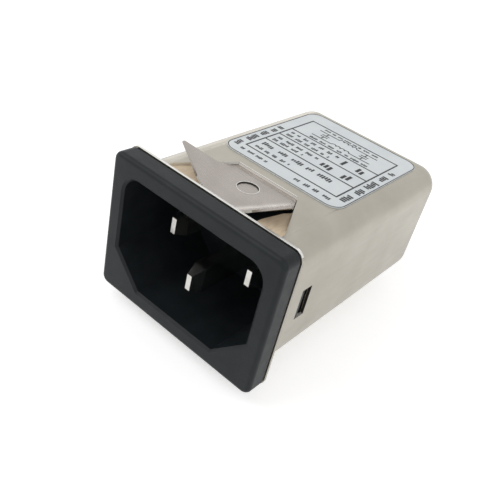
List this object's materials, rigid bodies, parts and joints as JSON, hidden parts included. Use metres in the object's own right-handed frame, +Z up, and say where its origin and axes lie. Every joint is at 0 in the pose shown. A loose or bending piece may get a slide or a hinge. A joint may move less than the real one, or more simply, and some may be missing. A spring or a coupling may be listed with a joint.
{
  "type": "power entry module",
  "caption": "Snap-in appliance inlet with a bevelled three-pin socket, built-in mains filter in a drawn metal can, snap springs and flat rear terminals.",
  "frame": {"origin": "centre of the can in the plane of the flange's rear face, which seats on the panel", "axes": "+X along the long side of the front frame (right seen from the front), +Y back into the panel, +Z up"},
  "size_m": [0.0296, 0.0533, 0.0268],
  "materials": {
    "housing_plastic": "matte",
    "can_metal": "satin",
    "spring_metal": "satin",
    "pin_metal": "polished",
    "tab_metal": "satin",
    "copper_wire": "gloss",
    "board_laminate": "matte",
    "ferrite": "matte",
    "base_plastic": "matte",
    "x_capacitor_case": "gloss",
    "y_capacitor_coat": "gloss",
    "resistor_coat": "gloss",
    "liner_card": "matte",
    "label_film": "satin"
  },
  "bodies": {
    "root": {"inlet_housing": "housing_plastic", "shield_can": "can_metal", "snap_spring_top": "spring_metal", "snap_spring_bottom": "spring_metal", "line_pin": "pin_metal", "neutral_pin": "pin_metal", "earth_pin": "pin_metal", "line_lead": "copper_wire", "neutral_lead": "copper_wire", "earth_strap": "tab_metal", "filter_board": "board_laminate", "choke_core": "ferrite", "choke_winding_line": "copper_wire", "choke_winding_neutral": "copper_wire", "choke_base": "base_plastic", "x_capacitor": "x_capacitor_case", "y_capacitor_line": "y_capacitor_coat", "y_capacitor_neutral": "y_capacitor_coat", "bleeder_resistor": "resistor_coat", "terminal_block": "housing_plastic", "line_tab": "tab_metal", "neutral_tab": "tab_metal", "earth_tab": "tab_metal", "earth_rivet": "tab_metal", "insulating_liner_left": "liner_card", "insulating_liner_right": "liner_card", "rating_label": "label_film"}
  },
  "joints": []
}
